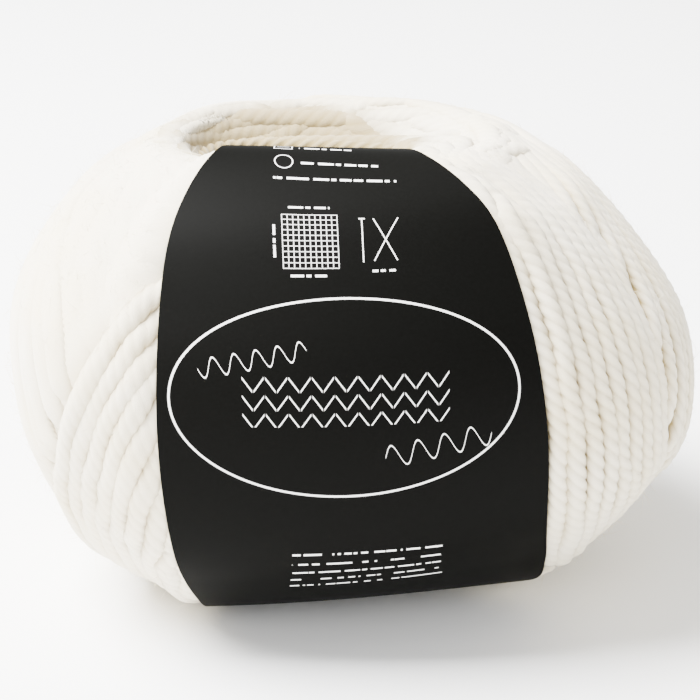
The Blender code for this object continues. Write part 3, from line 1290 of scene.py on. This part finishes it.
            depth += self.crest_sink * float(ease((self.crest_start - start) / 8)) * at_crest
            falling = ease((travel - self.falling_from[0]) / self.falling_from[1])
            depth += self.falling_depth * falling * (1 - age)
            left = ease((-math.radians(70) - azimuth) / 0.6) * (azimuth > -math.pi)
            fading = 1 - falling * float(ease((age - 0.55) / 0.2))
            relief = self.relief(spread) * (self.side_relief - self.left_flat * left) * fading
            cuts = np.flatnonzero(np.diff(shown))
            if len(cuts):
                near = np.abs(np.arange(len(shown))[:, None] - (cuts + 0.5)[None, :]).min(1)
                depth += self.cut_depth * (1 - ease(near / 14))
            turns.append([run for part in np.split(np.arange(len(shown)), cuts + 1)
                          if shown[part[0]] and len(part) > 4
                          for run in self.lay(latitude[part], azimuth[part], depth[part],
                                              self.yarn.radius, relief[part])])
        return turns

    def older_turns(self, rng: np.random.Generator) -> list[list[Run]]:
        """Lay the turns before those, which show in the wedge that the newest leave open.

        Args:
            rng: The seeded generator.

        Returns:
            The runs of each turn.
        """
        turns = []
        for number in range(self.older_count):
            later = self.older_reach * (number + 0.5) / self.older_count
            start = self.first_start + later
            tangent = self.tangent + rng.uniform(-self.tangent_jitter, self.tangent_jitter)
            for first, last in ((-90.0, 2.0), (90.0, 182.0)):
                latitude, azimuth = self.course(start, tangent, first, last)
                rows = np.abs(azimuth - math.radians(start) - (0 if first < 0 else math.pi))
                keep = np.degrees(rows) > later / 2 - 7
                if keep.sum() < 8:
                    continue
                latitude, azimuth = latitude[keep], azimuth[keep]
                along = np.linspace(0.0, 0.08, len(latitude))
                depth = self.order_rise + self.older_depth + self.older_ripple * drift(rng, along, 0.06)
                turns.append(self.lay(latitude, azimuth, depth, self.yarn.radius * self.older_width,
                                      np.zeros(len(latitude)), self.older_dive))
        return turns

    def rim_turns(self, rng: np.random.Generator) -> list[list[Run]]:
        """Lay the inner turns that show round both ends of the hole; their ends dive.

        Args:
            rng: The seeded generator.

        Returns:
            The runs of each turn.
        """
        turns = []
        for side in (1, -1):
            for tangent, count in self.rim_courses:
                for number in range(count):
                    start = 360.0 * (number + rng.uniform(-0.3, 0.3)) / count
                    middle = 90.0 * side
                    reach = 18 + 30 * tangent
                    latitude, azimuth = self.course(start, tangent, middle - reach, middle + reach)
                    along = np.linspace(0.0, 0.05, len(latitude))
                    from_end = 1 - np.abs(np.linspace(-1.0, 1.0, len(latitude)))
                    depth = self.rim_depth + self.rim_ripple * drift(rng, along, 0.05)
                    depth += self.rim_dive * (1 - ease(from_end / self.rim_end))
                    turns.append(self.lay(latitude, azimuth, depth, self.yarn.radius * self.rim_width,
                                          np.full(len(latitude), self.rim_relief)))
        return turns

    def bore_turns(self, rng: np.random.Generator) -> list[list[Run]]:
        """Line the hole with the innermost turns.

        Args:
            rng: The seeded generator.

        Returns:
            The runs of each turn.
        """
        turns = []
        for side in (1, -1):
            for number in range(self.bore_count):
                azimuth = np.linspace(0.0, math.tau * 1.02, 90) + rng.uniform(0, math.tau)
                sway = self.bore_sway * np.sin(azimuth + rng.uniform(0, math.tau))
                latitude = self.bore_top + number * self.bore_pitch + sway
                depth = np.full(len(azimuth), self.rim_ripple * rng.uniform(0, 1))
                turns.append(self.lay(side * latitude, azimuth, depth, self.yarn.radius))
        return turns

    def skin(self) -> BVHTree:
        """Return the form's surface as a tree to drop places on.

        Returns:
            The tree.
        """
        rows, columns = 101, 180
        latitudes, azimuths = np.linspace(100.0, -100.0, rows), np.arange(columns) / columns * math.tau
        latitude, azimuth = (g.ravel() for g in np.meshgrid(latitudes, azimuths, indexing="ij"))
        points = self.form.point(latitude, azimuth)
        index = np.arange(len(points)).reshape(rows, columns)
        faces = grid_quads(index[:-1], index[1:], True)
        return BVHTree.FromPolygons([Vector(p) for p in points], [tuple(f) for f in faces])

    def beside(self, places: Array, ways: Array, step: Array) -> tuple[Array, Array]:
        """Move a line on the form sideways, towards +X, and smooth it.

        Args:
            places: The line.
            ways: The way out of the form at each point.
            step: How far to move each point.

        Returns:
            The new line and its ways out.
        """
        across = unit(np.cross(unit(np.gradient(places, axis=0)), ways))
        across *= np.where(across[:, :1] < 0, -1.0, 1.0)
        places, ways = self.drop(places + across * step[:, None])
        places[1:-1] = (places[:-2] + 2 * places[1:-1] + places[2:]) / 4
        return places, ways

    def drop(self, places: Array) -> tuple[Array, Array]:
        """Return the nearest places on the form and the way out of it there.

        Args:
            places: Places near the form.

        Returns:
            The places on it, and the ways out.
        """
        if self.skin_tree is None:
            self.skin_tree = self.skin()
        found = [self.skin_tree.find_nearest(Vector(place))[:2] for place in places]
        return np.array([spot for spot, _ in found]), np.array([way for _, way in found])

    def strand(self, knots: Array, outs: Array, rng: np.random.Generator) -> tuple[Array, Array, Array]:
        """Run yarn smoothly through knots, beneath the band where they meet.

        Args:
            knots: Places that its middle passes; the first and last only steer it.
            outs: The way out at each.
            rng: The seeded generator.

        Returns:
            Its middle line, the way out and how deep under the band each point is.
        """
        steps = 6
        fine = smooth_loop(np.column_stack([knots, outs]), steps)[steps:-2 * steps]
        middle, outward = fine[:, :3], unit(fine[:, 3:])
        along = np.linspace(0.0, 0.15, len(middle))
        sideways = np.cross(unit(np.gradient(middle, axis=0)), outward)
        middle = middle + sideways * (self.wobble * drift(rng, along, 0.05))[:, None]
        middle, outward, hidden = self.press(middle, outward, np.full(len(middle), self.yarn.radius))
        middle[:, 2] = np.maximum(middle[:, 2], self.yarn.radius * self.floor_share)
        return middle, outward, hidden

    def knots(self, rows: tuple, number: int) -> Array:
        """Return the places that a turn on the right passes, from the first turn's."""
        return np.array([np.add(first, np.multiply(step, number)) for first, step in rows]) + self.form.shift

    def right_turns(self, rng: np.random.Generator) -> list[Run]:
        """Lay the last turns, which come up out of the hole and run down beside the band's right edge.

        Args:
            rng: The seeded generator.

        Returns:
            One run for each turn, the nearest to the band first.
        """
        steps = 6
        first_row, last_row = 10, 13 + 4
        stations = self.band.stations(steps)
        rows = stations[np.arange(first_row * steps, last_row * steps + 1) % len(stations)]
        pitch = np.interp(np.arange(len(rows)) / steps, np.arange(8), self.pitches)
        places, ways = self.drop(self.band.surface(rows, np.array([1.0]), 0.0)[:, 0])
        runs = []
        for k in range(self.newest):
            places, ways = self.beside(places, ways, pitch * (self.edge_pitch_share if k == 0 else 1.0))
            inner, outer = float(ease((k - 2) / 4)), float(ease((k - 5) / 3))
            sunk = self.yarn.radius * self.yarn.flatness + np.interp(k, *self.right_sunk)
            sunk -= self.near_lift * (1 - inner)
            foot, crown = self.right_foot, self.right_crown
            low = ease((foot[0] - places[:, 2:] + self.form.shift[2]) / foot[1])
            high = ease((places[:, 2:] - crown[0]) / crown[1]) * inner
            laid = places - ways * (sunk + foot[2] * low + crown[2] * high)
            crest, crest_ways = self.drop(self.knots(self.crest_knots, k))
            crest = crest - crest_ways * self.crest_depth
            floor = self.crest_floor[0] - self.crest_floor[1] * k
            crest[:, 2] = np.maximum(crest[:, 2], floor) - self.crest_drop * inner
            middle, outward, _ = self.strand(
                np.concatenate([laid[:-2:3], crest, self.knots(self.hole_knots, k)]),
                np.concatenate([ways[:-2:3], self.knot_ways]), rng)
            soft = self.crest_relief[0] - self.crest_relief[1] * inner
            upright = ease((self.front_top[0] - middle[:, 2]) / self.front_top[1]) * (1 - 0.5 * outer)
            raised = ease((middle[:, 2] - self.foot_top[0]) / self.foot_top[1])
            relief = soft + (self.front_relief - soft) * upright * (
                self.foot_relief + (1 - self.foot_relief) * raised)
            runs.append(Run(middle, outward, np.full(len(middle), self.yarn.radius), relief,
                            self.shade(middle)))
        return runs

    def left_turns(self, rng: np.random.Generator) -> list[Run]:
        """Lay the last turns on the left, side by side from the edge strand until the band hides them.

        Args:
            rng: The seeded generator.

        Returns:
            The runs that show.
        """
        latitude, azimuth = self.course(self.last_start, *self.left_course)
        azimuth = azimuth + math.radians(self.edge_bend) * ease(latitude / self.bend_in)
        places, ways = self.drop(self.form.point(latitude, azimuth))
        pitch = np.interp(latitude, self.left_levels, self.left_pitches)
        runs = []
        for k in range(self.left_newest):
            if k:
                places, ways = self.beside(places, ways, pitch)
            sunk = self.yarn.radius * self.yarn.flatness - self.left_sunk[min(k, 1)]
            low = ease((self.left_foot[0] - places[:, 2:]) / self.left_foot[1])
            laid = places - ways * (sunk + self.left_foot[2] * low)
            middle, outward, hidden = self.strand(laid[::5], ways[::5], rng)
            ripple = drift(rng, np.linspace(0.0, 0.15, len(middle)), 0.05)
            relief = self.left_relief[0] + self.left_relief[1] * ripple
            shown = np.flatnonzero(hidden < 0.5)
            for part in np.split(shown, np.flatnonzero(np.diff(shown) > 1) + 1):
                if len(part) > 4:
                    runs.append(Run(middle[part], outward[part], np.full(len(part), self.yarn.radius),
                                    relief[part], np.zeros(len(part))))
        return runs

    def shade(self, middle: Array) -> Array:
        """Return the painted shade in the hole at each point, by how deep it lies: 0 outside it and 1 well
        down.

        Args:
            middle: The points.

        Returns:
            A depth for each.
        """
        centre = np.array(self.form.bore_centre) + np.array(self.form.shift)[:2] - self.hole_shade_offset
        away = np.linalg.norm(middle[:, :2] - centre, axis=1)
        below = ease((self.hole_shade_top[0] - middle[:, 2]) / self.hole_shade_top[1])
        return below * (1 - ease((away - self.hole_shade_reach[0]) / self.hole_shade_reach[1]))

    def hide_under(self, right: list[Run], left: list[Run]) -> None:
        """Let later turns cover whatever is laid from now on.

        Args:
            right: The turns beside the band's right edge, the nearest first; the last covers nothing.
            left: The turns on the left.
        """
        top, fade = self.cover_top
        holds = [np.ones(len(run.middle)) if number < self.proud
                 else 1 - ease((run.middle[:, 2] - top) / fade) for number, run in enumerate(right[:-1])]
        self.cover_hold = np.concatenate(holds + [np.ones(len(run.middle)) for run in left])
        places = np.concatenate([run.middle for run in right[:-1] + left])
        self.cover = KDTree(len(places))
        for index, place in enumerate(places):
            self.cover.insert(Vector(place), index)
        self.cover.balance()

    def fibres(self, runs: list[Run], rng: np.random.Generator, material: Material) -> Piece:
        """Let loose fibres stand off the yarn as a fine halo.

        Args:
            runs: The lengths of yarn that they grow from.
            rng: The seeded generator.
            material: Their finish.

        Returns:
            The piece of all fibres.
        """
        middle, outward = (np.concatenate([getattr(run, key)[2:-2] for run in runs])
                           for key in ("middle", "outward"))
        forward = unit(np.concatenate([np.gradient(run.middle, axis=0)[2:-2] for run in runs]))
        near = [self.guide.tree.find_nearest(Vector(place), 0.008)[::2] for place in middle]
        clear = np.array([spot is None or self.guide.share(spot, index) > self.fibre_clear
                          for spot, index in near])
        picks = rng.choice(np.flatnonzero(clear), self.fibre_count)
        out, way, start = outward[picks], forward[picks], middle[picks]
        side = np.cross(way, out)
        angle = rng.uniform(-self.fibre_fan, self.fibre_fan, self.fibre_count)[:, None]
        skin = out * np.cos(angle) + side * np.sin(angle)
        start = start + skin * self.yarn.radius * self.fibre_root
        slope = rng.uniform(0.15, 0.9, self.fibre_count)[:, None]
        turn = rng.uniform(0, math.tau, self.fibre_count)[:, None]
        flat = unit(np.cross(skin, way)) * np.sin(turn) + way * np.cos(turn)
        lead = unit(flat * np.cos(slope) + skin * np.sin(slope))
        curl = rng.uniform(-1, 1, self.fibre_count)[:, None]
        bend = unit(np.cross(lead, skin)) * curl - skin * self.fibre_droop
        length = rng.gamma(3.0, self.fibre_length / 3.0, self.fibre_count)
        length = np.minimum(length, self.fibre_most)[:, None]
        rings, sides = 5, 3
        t = np.linspace(0.0, 1.0, rings)[None, :, None]
        spine = (start[:, None, :] + lead[:, None, :] * length[:, None, :] * t
                 + bend[:, None, :] * (length[:, None, :] * self.fibre_curl) * t ** 2)
        spine[..., 2] = np.maximum(spine[..., 2], 8 * self.fibre_radius)
        first = unit(np.cross(lead, skin + 0.013))
        second = np.cross(lead, first)
        radius = self.fibre_radius * (1 - self.fibre_taper * t[..., 0])
        corner = np.arange(sides) * math.tau / sides
        points = (spine[:, :, None, :]
                  + (first[:, None, None, :] * np.cos(corner)[None, None, :, None]
                     + second[:, None, None, :] * np.sin(corner)[None, None, :, None])
                  * radius[..., None, None])
        index = np.arange(points.size // 3).reshape(self.fibre_count, rings, sides)
        around = np.roll(index, -1, 2)
        quads = np.stack([index[:, :-1], around[:, :-1], around[:, 1:], index[:, 1:]], axis=-1).reshape(-1, 4)
        ends = np.concatenate([index[:, 0, ::-1], index[:, -1]])
        return mesh_piece("loose_fibres", points.reshape(-1, 3), quads, ends,
                          np.zeros((len(quads) * 4 + len(ends) * 3, 2)), material,
                          np.zeros((points.size // 3, 2)))

    def core(self, material: Material) -> Piece:
        """Make the closed body of buried turns that lies under those that show.

        Args:
            material: Its finish.

        Returns:
            The piece.
        """
        rows, columns = self.core_grid
        latitudes = np.linspace(115.0, -115.0, rows, endpoint=False)
        azimuths = np.arange(columns) / columns * math.tau
        latitude, azimuth = (g.ravel() for g in np.meshgrid(latitudes, azimuths, indexing="ij"))
        outward = self.form.outward(latitude, azimuth)
        middle = self.form.point(latitude, azimuth) - outward * self.core_depth
        places, _, _ = self.press(middle, outward, np.full(len(middle), self.core_radius))
        places[:, 2] = np.maximum(places[:, 2], self.core_floor)
        index = np.arange(rows * columns).reshape(rows, columns)
        quads = grid_quads(index, np.roll(index, -1, 0), True)
        # painted shade: every vertex of the core gets the same share of crease colour
        return mesh_piece("buried_turns", places, quads, np.zeros((0, 3), int),
                          np.zeros((len(quads) * 4, 2)), material,
                          np.tile((self.core_painted_shade, 0.0), (len(places), 1)))


# ---------------------------------------------------------------- the studio


@dataclass(frozen=True)
class Studio:
    """Plain pale floor, soft light from above and the left, and the camera."""

    floor_size: float = 6.0
    target: Triple = (-0.0008, -0.0027, 0.0392)
    distance: float = 0.450
    elevation: float = 20.0
    lens: float = 123.66
    floor_code: str = "F6F6F5"
    sky: float = 1.38
    # name, side in metres, power in watts and place of each light
    lights: tuple = (("key", 0.7, 118.0, (-0.58, 0.05, 0.92)),
                     ("front", 1.2, 16.0, (-0.3, -1.3, 0.7)))

    def floor(self) -> Piece:
        """Add the floor.

        Returns:
            The floor, outside the part.
        """
        bpy.ops.object.select_all(action="DESELECT")
        bpy.ops.mesh.primitive_plane_add(size=self.floor_size, location=(0.0, 0.0, 0.0))
        plane = bpy.context.active_object
        plane.name = "floor"
        plane.data.materials.append(
            PlainFinish("matt_white_board", self.floor_code, "F4F4F3", 0.9, 3.0).material())
        return plane

    def camera(self) -> None:
        """Add the camera at its distance and height from the target."""
        up = math.radians(self.elevation)
        data = bpy.data.cameras.new("camera")
        data.lens = self.lens
        data.sensor_width = 36.0
        camera = bpy.data.objects.new("camera", data)
        place = Vector(self.target) + self.distance * Vector((0.0, -math.cos(up), math.sin(up)))
        camera.matrix_world = Matrix.Translation(place) @ Matrix.Rotation(math.radians(90) - up, 4, "X")
        bpy.context.scene.collection.objects.link(camera)
        bpy.context.scene.camera = camera

    def light(self, name: str, size: float, power: float, place: Triple) -> None:
        """Add a square soft light aimed at the ball.

        Args:
            name: Its name.
            size: The length of its side.
            power: Its power in watts.
            place: Where it hangs.
        """
        data = bpy.data.lights.new(name, "AREA")
        data.shape = "SQUARE"
        data.size = size
        data.energy = power
        lamp = bpy.data.objects.new(name, data)
        way = Vector(self.target) - Vector(place)
        lamp.matrix_world = Matrix.Translation(place) @ way.to_track_quat("-Z", "Y").to_matrix().to_4x4()
        bpy.context.scene.collection.objects.link(lamp)

    def build(self) -> None:
        """Set the whole studio up."""
        self.floor()
        self.camera()
        for lamp in self.lights:
            self.light(*lamp)
        world = bpy.data.worlds.new("studio")
        world.use_nodes = True
        background = world.node_tree.nodes["Background"]
        background.inputs["Color"].default_value = (1.0, 1.0, 1.0, 1.0)
        background.inputs["Strength"].default_value = self.sky
        bpy.context.scene.world = world


def main() -> None:
    """Build the band, the turns of yarn and the studio."""
    logging.basicConfig(level=logging.INFO, format="%(message)s")
    Studio().build()
    band = PaperBand()
    band.settle()
    sheet = band.build(PrintFinish().material(), PlainFinish("paper_core", "F2F0EB", "E6E4DE").material())
    form = WoundForm(shift=tuple(band.shift))
    ball = WoundBall(form, Yarn(), band, band.guide())
    wool = WoolFinish().material()
    rng = np.random.default_rng(ball.seed)
    right, left = ball.right_turns(rng), ball.left_turns(rng)
    ball.hide_under(right, left)
    newest = [right, left]
    outer, older = ball.outer_turns(rng), ball.older_turns(rng)
    rim, bore = ball.rim_turns(rng), ball.bore_turns(rng)
    quarter = math.ceil(len(outer) / 4)
    batches = {f"outer_turns_{i + 1}": outer[i * quarter:(i + 1) * quarter] for i in range(4)}
    batches |= {"older_turns": older, "rim_turns": rim, "bore_turns": bore, "newest_turns": newest}
    total = 0
    pieces = [ball.core(wool)]
    for name, turns in batches.items():
        piece = ball.yarn.mesh(name, [run for turn in turns for run in turn], wool)
        triangles = sum(len(p.vertices) - 2 for p in piece.data.polygons)
        total += triangles
        LOG.info("%s: %d runs, %d triangles", name, sum(map(len, turns)), triangles)
        pieces.append(piece)
    LOG.info("yarn triangles in all: %d", total)
    pieces.append(ball.fibres([run for turn in outer + older + newest for run in turn], rng, wool))
    for piece in pieces:
        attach(piece, "root")
        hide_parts("wound_ball")
    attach(sheet, "root")
    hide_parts("paper_band")


if __name__ == "__main__":
    main()
